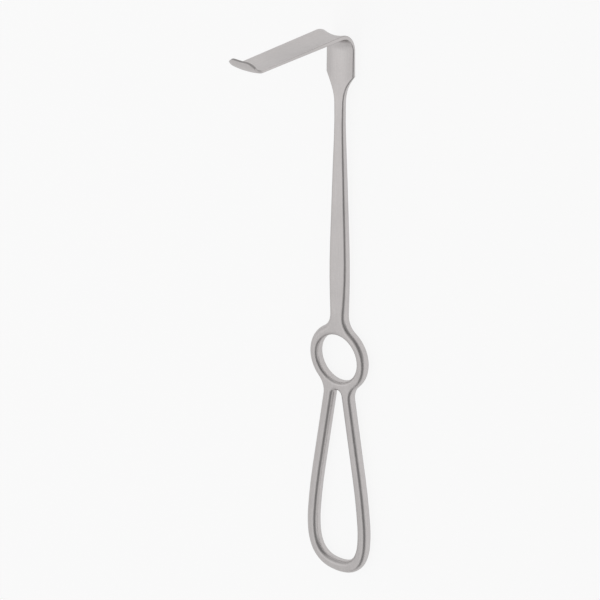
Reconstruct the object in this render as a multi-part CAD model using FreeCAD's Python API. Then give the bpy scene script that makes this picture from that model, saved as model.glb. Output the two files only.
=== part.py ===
"""Handheld surgical retractor, one piece of satin steel.

The handle lies along Y on its back, with the teardrop loop at -Y and the blade rising in +Z
from the +Y end. The part is symmetric about x = 0. The origin is the middle of the underside
of its bounding box. While it is drawn, the ring's centre at mid thickness is the zero point.
"""
import FreeCAD, Part
import os
from math import acos, asin, cos, degrees, pi, radians, sin, sqrt

V = FreeCAD.Vector

# Handle: overall sizes, in millimetres and degrees
HANDLE_LENGTH = 220.0          # lower end of the loop to the outer face of the bend
GRIP_THICKNESS = 4.4           # ring and loop
SIDE_ROUNDING = 0.465          # radius of the long edges, as a share of the handle's thickness
ORIGIN_TO_LOOP_END = 89.6      # ring centre to the loop's lower end

# Finger ring and its necks
RING_OUTER_RADIUS = 13.45
RING_WIDTH = 4.05
HOLE_ROUNDING = 0.33           # radius of the hole's edges, as a share of the thickness
LEAST_FLAT = 0.1               # left between the roundings of a narrower ring
UPPER_NECK_RADIUS = 7.0        # between the ring and the shank
LOWER_NECK_RADIUS = 7.0        # between the ring and the limbs of the loop

# Teardrop loop: each limb's centreline is a straight run and a chain of tangent arcs
LIMB_WIDTH = 4.95
LIMB_TILT = 9.5                # of the straight run, from the handle's axis
LIMB_START_X = 4.40            # where the straight run starts, from the handle's axis
RING_TO_LIMB = 2.05            # ring's lower end to the start of the straight run
LOOP_ARCS = (                  # radius and turn of the arcs, from the limb towards the loop's end
    (223.0, 4.9),
    (49.0, 10.0),
    (18.5, 17.5),
    (9.6, 54.5),
)
APEX_RISE = 0.05               # upper end of the loop's opening above the ring's lower end

# Shank: it swells past the ring and then tapers to the flare
RING_TO_SHANK = 5.05           # ring's upper end to the end of the grip's even thickness
SHANK_SECTIONS = (             # share of the shank's length, half width, thickness
    (0.0, 3.80, GRIP_THICKNESS),
    (0.065, 4.05, 3.95),
    (0.16, 4.30, 3.60),
    (0.34, 4.10, 3.35),
    (0.535, 3.50, 3.15),
    (0.725, 2.90, 2.80),
    (0.905, 2.35, 2.40),
    (1.0, 2.40, 2.15),
)
SHANK_STEPS = 12               # straight stretches that follow the sections' smooth curve

# Flat neck: it widens from the shank to angular shoulders and is troughed crosswise
FLARE_LENGTH = 11.4            # shank's end to the shoulders
FLARE_POWER = 2.2              # how late the flare widens
FLARE_STEPS = 7
NECK_LENGTH = 9.9              # shoulders to the bend
NECK_HALF_WIDTH = 6.35
SHOULDER_THICKNESS = 1.9
NECK_RISE = 0.35               # middle of the flat neck above the shank's mid plane
STRIP_ROUNDING = 0.25          # the strip's corners, each in two cuts, as a share of its thickness

# Bend, blade and lip
BEND_RADIUS = 6.2              # of the strip's mid surface
BEND_THICKNESS = 1.6
TROUGH_DEPTH = 1.1             # of the neck, the bend and the blade's root
BLADE_ANGLE = 89.7             # turn of the bend
BLADE_LENGTH = 43.95           # straight part between the bend and the lip
TIP_HALF_WIDTH = 6.0
TIP_THICKNESS = 1.0
TIP_TROUGH_DEPTH = 0.5
LIP_RADIUS = 5.7
LIP_ANGLE = 78.0
LIP_CORNER_RADIUS = 3.5
CUTTER_MARGIN = 0.3            # how far the corners' cutter stands outside the lip's sides

TOUCH = 0.01                   # closer than this counts as touching
STRAIGHT = 0.005               # less bow than this counts as straight

# Places along the handle, from the ring's centre
LIMB_START = (LIMB_START_X, -RING_OUTER_RADIUS - RING_TO_LIMB)
LOOP_APEX_Y = APEX_RISE - RING_OUTER_RADIUS
SHANK_START_Y = RING_OUTER_RADIUS + RING_TO_SHANK
BEND_Y = HANDLE_LENGTH - ORIGIN_TO_LOOP_END - BEND_THICKNESS / 2 - BEND_RADIUS
SHOULDER_Y = BEND_Y - NECK_LENGTH
SHANK_END_Y = SHOULDER_Y - FLARE_LENGTH


def polar(radius, angle):
    """Point of the ring's plane at a radius and an angle in degrees from +X."""
    return V(radius * cos(radians(angle)), radius * sin(radians(angle)), 0)


def arc_edge(start, through, end):
    return Part.Arc(start, through, end).toShape()


def line_edge(start, end):
    return Part.LineSegment(start, end).toShape()


def limb_direction(angle):
    """Direction along the loop, turned by an angle from straight down the handle."""
    return V(-sin(radians(angle)), -cos(radians(angle)), 0)


def limb_arcs():
    """Arcs of the right half's centreline: start, centre, radius, first and last direction.

    The last arc is centred on the handle's axis, and the straight run is as long as the
    loop's end needs.
    """
    run = limb_direction(-LIMB_TILT)
    place, angle, steps = V(*LIMB_START, 0), -LIMB_TILT, []
    for radius, turn in LOOP_ARCS:
        steps.append((radius, angle, angle + turn))
        place += (arc_side(angle + turn) - arc_side(angle)) * radius
        angle += turn
    rest = 1 - sin(radians(angle))
    # With the straight run's length L, both x and y of the arcs' end grow in step with it
    last_radius = place.x / cos(radians(angle))
    end_y = LIMB_WIDTH / 2 - ORIGIN_TO_LOOP_END
    length = (place.y - rest * last_radius - end_y) / (rest * run.x / cos(radians(angle)) - run.y)
    last_radius += length * run.x / cos(radians(angle))
    steps.append((last_radius, angle, 90))
    place, arcs = V(*LIMB_START, 0) + run * length, []
    for radius, first, last in steps:
        arcs.append((place + arc_side(first) * -radius, radius, first, last))
        place = arcs[-1][0] + arc_side(last) * radius
    return arcs


def arc_side(angle):
    """Direction from an arc's centre to its point where the loop runs at an angle."""
    return V(cos(radians(angle)), -sin(radians(angle)), 0)


def limb_edges(offset, start):
    """Right half of the loop beside its centreline, from a given start to the loop's end."""
    arcs = limb_arcs()
    centre, radius, first = arcs[0][:3]
    edges = [line_edge(start, centre + arc_side(first) * (radius + offset))]
    for centre, radius, first, last in arcs:
        angles = first, (first + last) / 2, last
        edges.append(arc_edge(*[centre + arc_side(angle) * (radius + offset) for angle in angles]))
    return edges


def mirror_edge(edge):
    return edge.mirror(V(0, 0, 0), V(1, 0, 0))


def grip_outline():
    """Outer outline of the ring, the loop and the first stretch of the shank."""
    ring = RING_OUTER_RADIUS
    half = SHANK_SECTIONS[0][1]

    # Upper neck: an arc that touches the ring and the side of the shank
    reach = ring + UPPER_NECK_RADIUS
    upper = V(half + UPPER_NECK_RADIUS, sqrt(reach ** 2 - (half + UPPER_NECK_RADIUS) ** 2), 0)
    upper_angle = degrees(acos(upper.x / reach))
    upper_on_shank = V(half, upper.y, 0)
    upper_mid = upper + polar(UPPER_NECK_RADIUS, (180 + 180 + upper_angle) / 2)

    # Lower neck: an arc that touches the ring and the outer side of the limb
    tilt = radians(LIMB_TILT)
    outward = V(cos(tilt), sin(tilt), 0)
    along = V(sin(tilt), -cos(tilt), 0)
    limb_side = V(*LIMB_START, 0) + outward * (LIMB_WIDTH / 2)
    gap = limb_side.dot(outward) + LOWER_NECK_RADIUS
    reach = ring + LOWER_NECK_RADIUS
    lower = outward * gap + along * sqrt(reach ** 2 - gap ** 2)
    lower_angle = degrees(asin(lower.y / reach))
    lower_on_limb = lower - outward * LOWER_NECK_RADIUS
    lower_mid = lower + polar(LOWER_NECK_RADIUS, (180 + lower_angle + 180 + LIMB_TILT) / 2)

    right = [
        line_edge(V(half, SHANK_START_Y, 0), upper_on_shank),
        arc_edge(upper_on_shank, upper_mid, polar(ring, upper_angle)),
        arc_edge(polar(ring, upper_angle), polar(ring, (upper_angle + lower_angle) / 2),
                 polar(ring, lower_angle)),
        arc_edge(polar(ring, lower_angle), lower_mid, lower_on_limb),
    ] + limb_edges(LIMB_WIDTH / 2, lower_on_limb)
    top = line_edge(V(-half, SHANK_START_Y, 0), V(half, SHANK_START_Y, 0))
    left = [mirror_edge(edge) for edge in right]
    return Part.Wire(Part.__sortEdges__(right + [top] + left))


def loop_opening_outline():
    """Teardrop opening between the limbs, rounded off at its upper end."""
    outward = arc_side(-LIMB_TILT)
    reach = V(*LIMB_START, 0).dot(outward) - LIMB_WIDTH / 2
    # The apex is an arc that touches both limbs and ends at its given height
    tilt = radians(LIMB_TILT)
    radius = (reach - LOOP_APEX_Y * sin(tilt)) / (1 - sin(tilt))
    centre = V(0, LOOP_APEX_Y - radius, 0)
    touch = centre + outward * radius
    right = limb_edges(-LIMB_WIDTH / 2, touch)
    left = [mirror_edge(edge) for edge in right]
    apex = arc_edge(V(-touch.x, touch.y, 0), V(0, LOOP_APEX_Y, 0), touch)
    return Part.Wire(Part.__sortEdges__(right + [apex] + left))


def slab(outline):
    """Plate of the handle's thickness, with the ring's mid plane in its middle."""
    face = Part.Face(outline)
    face.translate(V(0, 0, -GRIP_THICKNESS / 2))
    return face.extrude(V(0, 0, GRIP_THICKNESS))


def lies_flat(edge):
    return edge.BoundBox.ZLength < TOUCH


def grip():
    """Ring, loop and necks: one plate with its openings and well rounded edges."""
    plate = slab(grip_outline()).cut(slab(loop_opening_outline()))
    sides = [edge for edge in plate.Edges if lies_flat(edge) and edge.BoundBox.YMin < SHANK_START_Y - TOUCH]
    plate = plate.makeFillet(SIDE_ROUNDING * GRIP_THICKNESS, sides)

    hole_radius = RING_OUTER_RADIUS - RING_WIDTH
    hole = slab(Part.Wire(Part.Circle(V(0, 0, 0), V(0, 0, 1), hole_radius).toShape()))
    plate = plate.cut(hole)
    rims = [edge for edge in plate.Edges if lies_flat(edge) and edge.distToShape(hole)[0] < TOUCH]
    widest = RING_WIDTH - SIDE_ROUNDING * GRIP_THICKNESS - LEAST_FLAT
    return plate.makeFillet(min(HOLE_ROUNDING * GRIP_THICKNESS, widest), rims)


def section(half, thick, radius, sag, bulge):
    """Closed section across the strip: x across, and n out of the side that is hollowed.

    The two faces are arcs of one centre, the hollow of depth sag between them, or straight
    lines where sag is 0. A corner is two arcs where bulge is 1 and two straight cuts where
    it is 0. Points are returned edge by edge, as the start, a point between and the end.
    """
    inner, top = half - radius, thick / 2 - radius

    def corner(turn, reach=radius):
        """Point round the corner, turn degrees from the strip's side."""
        return inner + reach * cos(radians(turn)), top + reach * sin(radians(turn))

    chord = radius * cos(radians(22.5))
    middle = chord + bulge * (radius - chord)
    quarter = [
        (corner(0), corner(22.5, middle), corner(45)),
        (corner(45), corner(67.5, middle), corner(90)),
    ]
    upper = quarter + [((inner, thick / 2), (0, thick / 2), (-inner, thick / 2))]
    upper += [tuple((-x, n) for x, n in reversed(edge)) for edge in reversed(quarter)]
    upper.append(((-half, top), (-half, 0), (-half, -top)))
    lower = [tuple((-x, -n) for x, n in edge) for edge in upper]
    return [tuple(hollowed(x, n, sag, half) for x, n in edge) for edge in upper + lower]


def hollowed(x, n, sag, half):
    """Wrap a point of the flat section round a cylinder, so that the strip is troughed."""
    if sag < STRAIGHT:
        return x, n
    bow = (half ** 2 + sag ** 2) / (2 * sag)
    angle = x / bow
    return (bow - n) * sin(angle), bow - (bow - n) * cos(angle)


def section_wire(edges, centre, angle):
    """Place a section at a point (y, z) of the path that runs at an angle from +Y to +Z."""
    y, z = centre
    up = V(0, sin(angle), -cos(angle))
    shapes = []
    for edge in edges:
        start, through, end = [V(x, y, z) + up * n for x, n in edge]
        bow = (through - (start + end) * 0.5).Length
        shapes.append(arc_edge(start, through, end) if bow > STRAIGHT else line_edge(start, end))
    return Part.Wire(shapes)


def shank():
    """Ruled loft along the smooth curve that the shank's sizes follow."""
    length = SHANK_END_Y - SHANK_START_Y
    sizes = Part.BSplineCurve()
    sizes.interpolate(Points=[V(share * length, half, thick) for share, half, thick in SHANK_SECTIONS])
    wires = []
    for step in range(SHANK_STEPS + 1):
        y, half, thick = sizes.value(sizes.LastParameter * step / SHANK_STEPS)
        flat_section = section(half, thick, SIDE_ROUNDING * thick, 0, 1)
        wires.append(section_wire(flat_section, (SHANK_START_Y + y, 0), 0))
    return Part.makeLoft(wires, True, True)


def flare():
    """Ruled loft from the shank's end to the angular shoulders, where the trough begins."""
    start_half, start_thick = SHANK_SECTIONS[-1][1:]
    wires = []
    for step in range(FLARE_STEPS + 1):
        share = step / FLARE_STEPS
        half = start_half + (NECK_HALF_WIDTH - start_half) * share ** FLARE_POWER
        thick = start_thick + (SHOULDER_THICKNESS - start_thick) * share
        rounding = SIDE_ROUNDING + (STRIP_ROUNDING - SIDE_ROUNDING) * share
        sag = TROUGH_DEPTH * (half / NECK_HALF_WIDTH) ** 2 * share
        rise = NECK_RISE * share ** 2 * (3 - 2 * share)
        place = (SHANK_END_Y + FLARE_LENGTH * share, rise)
        wires.append(section_wire(section(half, thick, rounding * thick, sag, 1 - share), place, 0))
    return Part.makeLoft(wires, True, True)


def strip_section(half, thick, sag, centre, angle):
    return section_wire(section(half, thick, STRIP_ROUNDING * thick, sag, 0), centre, angle)


def strip():
    """Flat neck, bend, blade and lip: one troughed strip of falling thickness."""
    turn = radians(BLADE_ANGLE)
    bend_centre = V(0, BEND_Y, NECK_RISE + BEND_RADIUS)
    root = (BEND_Y + BEND_RADIUS * sin(turn), NECK_RISE + BEND_RADIUS * (1 - cos(turn)))
    tip = (root[0] + BLADE_LENGTH * cos(turn), root[1] + BLADE_LENGTH * sin(turn))
    lip_centre = V(0, tip[0] + LIP_RADIUS * sin(turn), tip[1] - LIP_RADIUS * cos(turn))

    shoulder = strip_section(NECK_HALF_WIDTH, SHOULDER_THICKNESS, TROUGH_DEPTH, (SHOULDER_Y, NECK_RISE), 0)
    bend_start = strip_section(NECK_HALF_WIDTH, BEND_THICKNESS, TROUGH_DEPTH, (BEND_Y, NECK_RISE), 0)
    bend_end = strip_section(NECK_HALF_WIDTH, BEND_THICKNESS, TROUGH_DEPTH, root, turn)
    lip_start = strip_section(TIP_HALF_WIDTH, TIP_THICKNESS, TIP_TROUGH_DEPTH, tip, turn)

    neck = Part.makeLoft([shoulder, bend_start], True, True)
    bend = Part.Face(bend_start).revolve(bend_centre, V(1, 0, 0), BLADE_ANGLE)
    blade = Part.makeLoft([bend_end, lip_start], True, True)
    lip = Part.Face(lip_start).revolve(lip_centre, V(-1, 0, 0), LIP_ANGLE)
    lip = lip.common(lip_cutter(lip_centre, lip_start.BoundBox.XMax + CUTTER_MARGIN))
    return [neck, bend, blade, lip]


def lip_cutter(lip_centre, half):
    """Prism that rounds the lip's two free corners, square to the lip's outer end."""
    end_angle = radians(BLADE_ANGLE - LIP_ANGLE)
    outward = V(0, -sin(end_angle), cos(end_angle))
    along = V(0, cos(end_angle), sin(end_angle))
    end = lip_centre + outward * LIP_RADIUS
    reach, corner = LIP_RADIUS * 2, LIP_CORNER_RADIUS
    bow = corner * (1 - sin(pi / 4))

    def place(x, back):
        return V(x, 0, 0) + end - along * back - outward * reach

    edges = [
        line_edge(place(half, reach), place(half, corner)),
        arc_edge(place(half, corner), place(half - bow, bow), place(half - corner, 0)),
        line_edge(place(half - corner, 0), place(corner - half, 0)),
        arc_edge(place(corner - half, 0), place(bow - half, bow), place(-half, corner)),
        line_edge(place(-half, corner), place(-half, reach)),
        line_edge(place(-half, reach), place(half, reach)),
    ]
    return Part.Face(Part.Wire(edges)).extrude(outward * reach * 2)


def retractor():
    """The whole part, moved so that the middle of its box's underside is the origin."""
    whole = grip().fuse([shank(), flare()] + strip()).removeSplitter()
    box = whole.optimalBoundingBox(False, False)
    ring_centre = V(-(box.XMin + box.XMax) / 2, -(box.YMin + box.YMax) / 2, -box.ZMin)
    whole.translate(ring_centre)
    print("ring centre", [round(value, 3) for value in ring_centre])
    return whole


def main():
    os.makedirs("parts", exist_ok=True)
    whole = retractor()
    box = whole.optimalBoundingBox(False, False)
    print("valid", whole.isValid(), "solids", len(whole.Solids), "volume", round(whole.Volume, 1))
    print("size", round(box.XLength, 2), round(box.YLength, 2), round(box.ZLength, 2))
    whole.exportStep("parts/retractor.step")


main()
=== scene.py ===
"""Finish, studio and camera for a handheld surgical retractor of satin steel.

Everything is in metres in the part's own frame: +Y runs along the handle to the blade, the
blade rises in +Z, and the handle's back lies on the floor at z = 0.
"""

from math import cos, pi, radians, sin

import bpy
from bpy.props import FloatProperty, FloatVectorProperty, PointerProperty
from mathutils import Matrix, Vector


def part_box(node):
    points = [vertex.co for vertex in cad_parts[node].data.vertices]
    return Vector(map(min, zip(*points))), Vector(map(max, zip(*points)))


bl_info = {
    "name": "Surgical retractor finish",
    "version": (1, 0, 0),
    "blender": (4, 5, 0),
    "location": "3D View > Sidebar > Retractor",
    "description": "Satin steel finish, studio floor, light and camera for a surgical retractor",
    "category": "Object",
}

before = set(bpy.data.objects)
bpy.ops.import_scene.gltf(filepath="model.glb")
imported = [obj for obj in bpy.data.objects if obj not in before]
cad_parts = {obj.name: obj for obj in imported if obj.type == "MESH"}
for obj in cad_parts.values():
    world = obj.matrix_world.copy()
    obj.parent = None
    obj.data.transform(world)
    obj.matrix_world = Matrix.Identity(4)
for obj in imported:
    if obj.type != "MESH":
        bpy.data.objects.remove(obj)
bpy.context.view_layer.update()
BODY = "retractor"
WHITE = (1, 1, 1, 1)

# The ring's centre, which the camera and the lamp are aimed by
LOOP_END_TO_RING = 0.0896
GRIP_THICKNESS = 0.0044
RING_CENTRE = Vector((0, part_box(BODY)[0].y + LOOP_END_TO_RING, GRIP_THICKNESS / 2))

# Where the ring's centre lies in the picture, in pixels of a square picture
PICTURE_SIZE = 600
RING_PIXEL = (339.6, 357.2)
SENSOR_WIDTH_MM = 36

# A pair of values is a span, over which a look or a light goes smoothly into another.
# Places on the steel: where the flat strip of neck, bend and blade starts along the handle,
# and the heights at which the handle goes over into the blade, and the blade into the lip
STRIP_START = (0.090, 0.095)
BLADE_ROOT = (0.0045, 0.0095)
LIP_ROOT = (0.0525, 0.0550)
# Flatness is 0 where the steel looks sideways and 1 on a flat face. A broken corner lies
# between the side and the face.
FACE_FLATNESS = (0.78, 0.96)
SIDE_TO_CORNER = (0.4, 0.65)
FACE_TO_CORNER = (0.96, 0.85)
# The inside of the lip looks along the handle by this much
LIP_INSIDE = (0.0, 0.3)

# The satin surface: length of a ground line in grains, the lines' share of the grain, and how
# much the grain changes the roughness
LINE_LENGTH = 30
LINE_SHARE = 0.45
GRAIN_ROUGHNESS = 0.18
# Slow change of tone: clouds and mottle in patches for each metre, and the mottle's share
CLOUD_SCALE = 60
MOTTLE_SCALE = 900
MOTTLE_SHARE = 0.4

# The floor's flat part, and the cove that curves up around it
FLOOR_RADIUS = 4.0
FLOOR_SIDES = 96
COVE_HEIGHT = 1.2
COVE_STEPS = 8

# The room's light by its turn about the handle, from straight above (0) down to the right
LEFT_EDGE_TURN = (radians(-40), radians(-10))
GAP_TURN = (radians(-4), radians(15))
RIGHT_TURN = (radians(18), radians(65))
FOOT_TURN = (radians(45), radians(80))
# The room's light by its reach along the handle, from the loop's end (-1) to the blade (1)
LEFT_BACK_REACH = (0.0, 0.4)
LOOP_END_REACH = (-1.0, -0.8)
LOOP_END_SHADE = 0.5
FOOT_START_REACH = (-0.85, -0.65)
FOOT_STOP_REACH = (0.1, -0.1)

NECK_LAMP_SIZE = 0.35
NECK_LAMP_PLACE = (-0.32, -0.02, 0.40)


class SteelSettings(bpy.types.PropertyGroup):
    """Colour and surface of the satin steel."""

    colour: FloatVectorProperty(
        name="Steel colour", description="Colour of the ground faces",
        subtype="COLOR", size=3, min=0, max=1, default=(0.565, 0.54, 0.535))
    rim_tint: FloatVectorProperty(
        name="Rim tint",
        description="Tint of the reflection where the steel is seen at a grazing angle",
        subtype="COLOR", size=3, min=0, max=1, default=(0.85, 0.85, 0.85))
    tone_change: FloatProperty(
        name="Tone change", description="How much the faces' tone changes from place to place",
        subtype="FACTOR", min=0, max=0.3, default=0.12)
    roughness: FloatProperty(
        name="Face roughness", description="Roughness of the ground flat faces",
        subtype="FACTOR", min=0, max=1, default=0.36)
    edge_roughness: FloatProperty(
        name="Edge roughness", description="Roughness of the rounded edges, which are smoother",
        subtype="FACTOR", min=0, max=1, default=0.34)
    # Painted shade: darkening of the handle's rounded corners, standing in for the darker
    # reflection along them
    corner_painted_shade: FloatProperty(
        name="Corner painted shade", description="How much darker the handle's rounded corners are",
        subtype="FACTOR", min=0, max=1, default=0.05)
    # Painted shade: darkening of the broken corners of neck, bend and blade, standing in for the
    # darker reflection along them
    blade_corner_painted_shade: FloatProperty(
        name="Blade corner painted shade",
        description="How much darker the broken corners of neck, bend and blade are",
        subtype="FACTOR", min=0, max=1, default=0.2)
    # Painted shade: darkening inside the lip, standing in for the shade in its hollow
    lip_painted_shade: FloatProperty(
        name="Lip painted shade", description="How much darker the inside of the lip is",
        subtype="FACTOR", min=0, max=1, default=0.5)
    grain_size: FloatProperty(
        name="Grain size", description="Width of one grain of the satin surface",
        subtype="DISTANCE", min=0.00002, max=0.002, default=0.0003)
    grain_tone: FloatProperty(
        name="Grain tone", description="How much the grain changes the steel's tone",
        subtype="FACTOR", min=0, max=1, default=0.45)
    grain_depth: FloatProperty(
        name="Grain depth", description="Height of the grain",
        subtype="DISTANCE", min=0, max=0.0001, default=0.000004)


class StudioSettings(bpy.types.PropertyGroup):
    """Floor, light and camera."""

    floor_colour: FloatVectorProperty(
        name="Floor colour", description="Colour of the plain floor",
        subtype="COLOR", size=3, min=0, max=1, default=(0.97, 0.97, 0.97))
    plain_white: FloatProperty(
        name="Plain white",
        description="How much of the floor's look is plain white, whatever lights it",
        subtype="FACTOR", min=0, max=1, default=0.88)
    left_side: FloatProperty(
        name="Left side", description="Brightness of the room on the left of the handle",
        min=0, max=2, default=0.8)
    left_edge: FloatProperty(
        name="Left edge", description="Brightness of the left side where it meets the dark gap",
        min=0, max=2, default=1.0)
    left_back: FloatProperty(
        name="Left back", description="Brightness of the left side towards the blade",
        min=0, max=2, default=0.6)
    dark_gap: FloatProperty(
        name="Dark gap", description="Brightness of the gap in the soft light above the handle",
        min=0, max=2, default=0.2)
    right_side: FloatProperty(
        name="Right side", description="Brightness of the room on the right, halfway up",
        min=0, max=2, default=0.42)
    right_foot: FloatProperty(
        name="Right foot", description="Brightness of the room on the right, low above the floor",
        min=0, max=3, default=1.3)
    neck_lamp: FloatProperty(
        name="Neck lamp", description="Power of the near soft lamp that the flat neck mirrors",
        subtype="POWER", min=0, max=10, default=0.1)
    camera_turn: FloatProperty(
        name="Camera turn", description="Turn of the camera about the handle, from straight above",
        subtype="ANGLE", default=radians(39.21))
    camera_rise: FloatProperty(
        name="Camera rise", description="Angle of the camera towards the blade's end of the handle",
        subtype="ANGLE", default=radians(24.19))
    camera_roll: FloatProperty(
        name="Camera roll", description="Turn of the picture about its middle",
        subtype="ANGLE", default=radians(0.16))
    camera_distance: FloatProperty(
        name="Camera distance", description="Distance of the camera from the ring's centre",
        subtype="DISTANCE", min=0.2, max=10, default=1.6)
    pixels_per_metre: FloatProperty(
        name="Picture scale", description="Pixels of the picture for one metre at the ring",
        min=100, max=10000, default=2657)


def empty_tree(owner):
    """Give a material or a world a node tree with nothing in it."""
    owner.use_nodes = True
    owner.node_tree.nodes.clear()
    return owner.node_tree


def new_node(tree, kind, inputs=(), **settings):
    """Add a node, set its own settings, and set or link its inputs, given as (socket, value)."""
    node = tree.nodes.new(kind)
    for name, value in settings.items():
        setattr(node, name, value)
    for socket, value in inputs:
        if isinstance(value, bpy.types.NodeSocket):
            tree.links.new(value, node.inputs[socket])
        else:
            node.inputs[socket].default_value = value
    return node


def maths(tree, operation, *values, clamp=False):
    """One step of arithmetic."""
    node = new_node(tree, "ShaderNodeMath", enumerate(values),
                    operation=operation, use_clamp=clamp)
    return node.outputs[0]


def ramp(tree, value, span, results=(0.0, 1.0)):
    """Smooth step from one result to the other while the value goes through the span."""
    inputs = (("Value", value), ("From Min", span[0]), ("From Max", span[1]),
              ("To Min", results[0]), ("To Max", results[1]))
    node = new_node(tree, "ShaderNodeMapRange", inputs, interpolation_type="SMOOTHSTEP")
    return node.outputs["Result"]


def blend(tree, factor, a, b):
    """Mix of two numbers."""
    inputs = ((0, factor), (2, a), (3, b))
    return new_node(tree, "ShaderNodeMix", inputs, data_type="FLOAT").outputs[0]


def noise(tree, vector, scale, detail=3, roughness=0.5):
    """Random pattern, from 0 to 1."""
    inputs = (("Vector", vector), ("Scale", scale), ("Detail", detail), ("Roughness", roughness))
    return new_node(tree, "ShaderNodeTexNoise", inputs).outputs["Fac"]


def stretched(tree, vector, x, y, z):
    """Place scaled by its own number on each axis."""
    inputs = ((0, vector), (1, (x, y, z)))
    return new_node(tree, "ShaderNodeVectorMath", inputs, operation="MULTIPLY").outputs[0]


def satin_steel(settings):
    """Ground satin steel: fine grain and lengthwise lines on the faces, smoother rounded edges, and
    painted shade on the broken corners and inside the lip.
    """
    material = bpy.data.materials.new("satin_steel")
    tree = empty_tree(material)
    place = new_node(tree, "ShaderNodeTexCoord").outputs["Object"]
    normal = new_node(tree, "ShaderNodeNewGeometry").outputs["Normal"]
    xyz = new_node(tree, "ShaderNodeSeparateXYZ", ((0, place),)).outputs
    facing = new_node(tree, "ShaderNodeSeparateXYZ", ((0, normal),)).outputs

    # The handle's faces look up or down. Those of neck, bend, blade and lip look any way but
    # sideways.
    on_blade = ramp(tree, xyz["Z"], BLADE_ROOT)
    on_strip = ramp(tree, xyz["Y"], STRIP_START)
    handle_face = maths(tree, "ABSOLUTE", facing["Z"])
    sideways = maths(tree, "MULTIPLY", facing["X"], facing["X"])
    strip_face = maths(tree, "SQRT", maths(tree, "SUBTRACT", 1.0, sideways, clamp=True))
    flatness = blend(tree, on_strip, handle_face, strip_face)
    face = ramp(tree, flatness, FACE_FLATNESS)

    # Painted shade: the broken corners beside the faces are darkened for the darker reflection they
    # mirror, and the inside of the lip is darkened for the shade in its hollow
    corner = maths(tree, "MULTIPLY", ramp(tree, flatness, SIDE_TO_CORNER),
                   ramp(tree, flatness, FACE_TO_CORNER))
    # Painted shade inside the lip, above its root and on the faces that look along the handle
    lip = maths(tree, "MULTIPLY", ramp(tree, xyz["Z"], LIP_ROOT),
                ramp(tree, facing["Y"], LIP_INSIDE))
    # Painted shade on the corners: weaker on the handle, stronger on neck, bend and blade
    corner_painted_shade = blend(
        tree, on_strip, settings.corner_painted_shade, settings.blade_corner_painted_shade)
    painted_shade = maths(tree, "MAXIMUM", maths(tree, "MULTIPLY", corner, corner_painted_shade),
                 maths(tree, "MULTIPLY", lip, settings.lip_painted_shade))

    # Speckle of the satin surface, and lines along the handle or up the blade
    across, along = 1 / settings.grain_size, 1 / (settings.grain_size * LINE_LENGTH)
    speckle = noise(tree, place, across, roughness=0.6)
    handle_lines = noise(tree, stretched(tree, place, across, along, across), 1, detail=2)
    blade_lines = noise(tree, stretched(tree, place, across, across, along), 1, detail=2)
    lines = blend(tree, on_blade, handle_lines, blade_lines)
    grain = blend(tree, LINE_SHARE, speckle, lines)
    uneven = maths(tree, "SUBTRACT", grain, 0.5)

    # Slow changes of tone over the length, and a faint mottle
    clouds = noise(tree, place, CLOUD_SCALE)
    mottle = noise(tree, place, MOTTLE_SCALE)
    shift = maths(tree, "MULTIPLY_ADD", blend(tree, MOTTLE_SHARE, clouds, mottle), 2, -1)
    tone = maths(tree, "MULTIPLY_ADD", shift, settings.tone_change, 1)
    tone = maths(tree, "MULTIPLY_ADD", uneven, settings.grain_tone, tone)
    # The painted shade of corners and lip darkens the colour
    tone = maths(tree, "MULTIPLY", tone, maths(tree, "SUBTRACT", 1.0, painted_shade))
    colour = new_node(tree, "ShaderNodeVectorMath", (
        (0, settings.colour), ("Scale", tone)), operation="SCALE")

    rough = blend(tree, face, settings.edge_roughness, settings.roughness)
    rough = maths(tree, "MULTIPLY_ADD", uneven, GRAIN_ROUGHNESS, rough, clamp=True)
    bump = new_node(tree, "ShaderNodeBump", (
        ("Strength", 1.0), ("Distance", settings.grain_depth), ("Height", grain)))

    shader = new_node(tree, "ShaderNodeBsdfPrincipled", (
        ("Base Color", colour.outputs[0]), ("Metallic", 1.0), ("Roughness", rough),
        ("Specular Tint", (*settings.rim_tint, 1)), ("Normal", bump.outputs[0])))
    new_node(tree, "ShaderNodeOutputMaterial", ((0, shader.outputs[0]),))
    return material


class RETRACTOR_OT_finish_steel(bpy.types.Operator):
    """Give the retractor its ground satin steel"""

    bl_idname = "retractor.finish_steel"
    bl_label = "Finish the steel"

    def execute(self, context):
        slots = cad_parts[BODY].material_slots
        if len(slots) == 0:
            raise RuntimeError("the retractor has no material slot")
        material = satin_steel(context.scene.retractor_steel)
        for slot in slots:
            slot.material = material
        return {"FINISHED"}


def add_object(name, data):
    """Put a mesh, a lamp or a camera into the scene."""
    thing = bpy.data.objects.new(name, data)
    bpy.context.scene.collection.objects.link(thing)
    return thing


def plain_floor(settings):
    """White floor: partly lit, and partly plain white to the camera and in reflections."""
    material = bpy.data.materials.new("plain_floor")
    tree = empty_tree(material)
    rays = new_node(tree, "ShaderNodeLightPath").outputs
    seen = maths(tree, "MAXIMUM", rays["Is Camera Ray"], rays["Is Glossy Ray"])
    seen = maths(tree, "MAXIMUM", seen, rays["Is Transmission Ray"])
    share = maths(tree, "MULTIPLY", seen, settings.plain_white)
    lit = new_node(tree, "ShaderNodeBsdfDiffuse", (("Color", (*settings.floor_colour, 1)),))
    white = new_node(tree, "ShaderNodeEmission", (("Color", WHITE), ("Strength", 1.0)))
    shader = new_node(tree, "ShaderNodeMixShader", (
        (0, share), (1, lit.outputs[0]), (2, white.outputs[0])))
    new_node(tree, "ShaderNodeOutputMaterial", ((0, shader.outputs[0]),))
    return material


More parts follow.
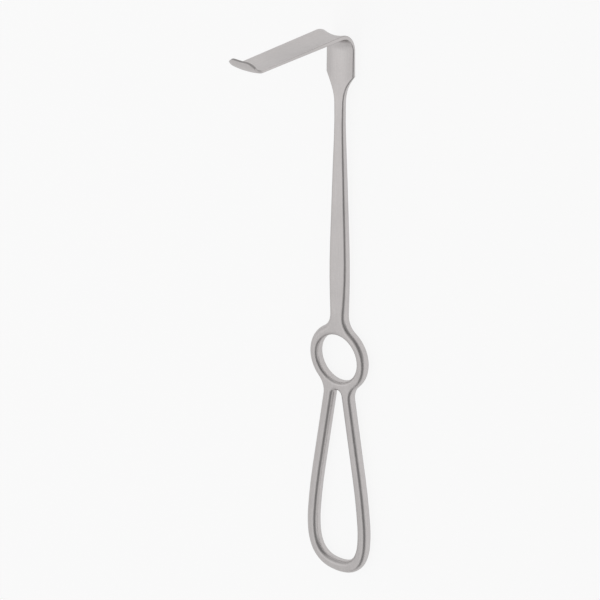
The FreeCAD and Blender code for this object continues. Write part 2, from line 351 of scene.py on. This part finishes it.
def lay_floor(settings):
    """Large round floor that the handle's back lies on, with a cove that curves up far away."""
    climb = [pi / 2 * step / COVE_STEPS for step in range(COVE_STEPS + 1)]
    profile = [(FLOOR_RADIUS + COVE_HEIGHT * sin(t), COVE_HEIGHT * (1 - cos(t))) for t in climb]
    points = [(0, 0, 0)]
    faces = []
    for ring, (radius, height) in enumerate(profile):
        for side in range(FLOOR_SIDES):
            turn = 2 * pi * side / FLOOR_SIDES
            points.append((radius * cos(turn), radius * sin(turn), height))
            here = 1 + ring * FLOOR_SIDES + side
            after = 1 + ring * FLOOR_SIDES + (side + 1) % FLOOR_SIDES
            if ring == 0:
                faces.append((here, after, 0))
            else:
                faces.append((here - FLOOR_SIDES, here, after, after - FLOOR_SIDES))
    mesh = bpy.data.meshes.new("floor")
    mesh.from_pydata(points, [], faces)
    mesh.shade_smooth()
    mesh.materials.append(plain_floor(settings))
    add_object("floor", mesh)


def light_room(settings):
    """Soft room: pale on the left, a dark gap above the handle, and brighter low on the right."""
    world = bpy.data.worlds.new("pale_room")
    bpy.context.scene.world = world
    tree = empty_tree(world)
    direction = new_node(tree, "ShaderNodeTexCoord").outputs["Generated"]
    xyz = new_node(tree, "ShaderNodeSeparateXYZ", ((0, direction),)).outputs
    turn = maths(tree, "ARCTAN2", xyz["X"], xyz["Z"])

    # The left side is brightest at its edge beside the gap, and less bright towards the blade
    edge = ramp(tree, turn, LEFT_EDGE_TURN, (settings.left_side, settings.left_edge))
    left = blend(tree, ramp(tree, xyz["Y"], LEFT_BACK_REACH), edge, settings.left_back)
    right = ramp(tree, turn, RIGHT_TURN, (settings.dark_gap, settings.right_side))
    room = blend(tree, ramp(tree, turn, GAP_TURN), left, right)
    shade = ramp(tree, xyz["Y"], LOOP_END_REACH, (LOOP_END_SHADE, 1.0))
    room = maths(tree, "MULTIPLY", room, shade)

    # The low light on the right is a panel on the loop's side of the ring
    foot = ramp(tree, turn, FOOT_TURN, (0.0, settings.right_foot - settings.right_side))
    ends = maths(tree, "MULTIPLY", ramp(tree, xyz["Y"], FOOT_START_REACH),
                 ramp(tree, xyz["Y"], FOOT_STOP_REACH))
    strength = maths(tree, "MULTIPLY_ADD", foot, ends, room)
    light = new_node(tree, "ShaderNodeBackground", (("Color", WHITE), ("Strength", strength)))
    new_node(tree, "ShaderNodeOutputWorld", ((0, light.outputs[0]),))


def hang_neck_lamp(settings):
    """Square soft lamp on the left that faces the ring, and that the flat neck mirrors."""
    lamp = bpy.data.lights.new("neck_lamp", "AREA")
    lamp.size = NECK_LAMP_SIZE
    lamp.energy = settings.neck_lamp
    holder = add_object("neck_lamp", lamp)
    holder.location = NECK_LAMP_PLACE
    aim = RING_CENTRE - Vector(NECK_LAMP_PLACE)
    holder.rotation_euler = aim.to_track_quat("-Z", "Y").to_euler()


def place_camera(settings):
    """Camera at the turn, rise and distance given, aimed so that the ring lies where it should."""
    turn, rise = settings.camera_turn, settings.camera_rise
    back = Vector((cos(rise) * sin(turn), sin(rise), cos(rise) * cos(turn)))
    right = Vector((cos(turn), 0, -sin(turn)))
    up = back.cross(right)
    middle = PICTURE_SIZE / 2
    aside = (middle - RING_PIXEL[0]) / settings.pixels_per_metre
    above = (RING_PIXEL[1] - middle) / settings.pixels_per_metre
    eye = RING_CENTRE + back * settings.camera_distance
    aim = RING_CENTRE + right * aside + up * above

    view = (eye - aim).normalized()
    across = up.cross(view).normalized()
    axes = Matrix((across, view.cross(across), view)).transposed()
    axes = Matrix.Rotation(settings.camera_roll, 3, view) @ axes
    data = bpy.data.cameras.new("camera")
    data.sensor_width = SENSOR_WIDTH_MM
    pixels_at_distance = settings.pixels_per_metre * settings.camera_distance
    data.lens = SENSOR_WIDTH_MM * pixels_at_distance / PICTURE_SIZE
    camera = add_object("camera", data)
    camera.matrix_world = Matrix.Translation(eye) @ axes.to_4x4()
    bpy.context.scene.camera = camera


class RETRACTOR_OT_set_studio(bpy.types.Operator):
    """Lay the floor, light the room and place the camera"""

    bl_idname = "retractor.set_studio"
    bl_label = "Set up the studio"

    def execute(self, context):
        settings = context.scene.retractor_studio
        lay_floor(settings)
        light_room(settings)
        hang_neck_lamp(settings)
        place_camera(settings)
        context.scene.view_settings.view_transform = "Standard"
        return {"FINISHED"}


class RETRACTOR_PT_panel(bpy.types.Panel):
    """Steps and settings of the retractor's finish and studio"""

    bl_label = "Surgical retractor"
    bl_idname = "RETRACTOR_PT_panel"
    bl_space_type = "VIEW_3D"
    bl_region_type = "UI"
    bl_category = "Retractor"

    def draw(self, context):
        layout = self.layout
        layout.operator(RETRACTOR_OT_finish_steel.bl_idname)
        layout.operator(RETRACTOR_OT_set_studio.bl_idname)
        for settings in (context.scene.retractor_steel, context.scene.retractor_studio):
            box = layout.box()
            for name in settings.__annotations__:
                box.prop(settings, name)


CLASSES = (
    SteelSettings,
    StudioSettings,
    RETRACTOR_OT_finish_steel,
    RETRACTOR_OT_set_studio,
    RETRACTOR_PT_panel,
)


def register():
    for cls in CLASSES:
        bpy.utils.register_class(cls)
    bpy.types.Scene.retractor_steel = PointerProperty(type=SteelSettings)
    bpy.types.Scene.retractor_studio = PointerProperty(type=StudioSettings)


def unregister():
    del bpy.types.Scene.retractor_studio
    del bpy.types.Scene.retractor_steel
    for cls in reversed(CLASSES):
        bpy.utils.unregister_class(cls)


def main():
    register()
    bpy.ops.retractor.finish_steel()
    bpy.ops.retractor.set_studio()


if __name__ == "__main__":
    main()
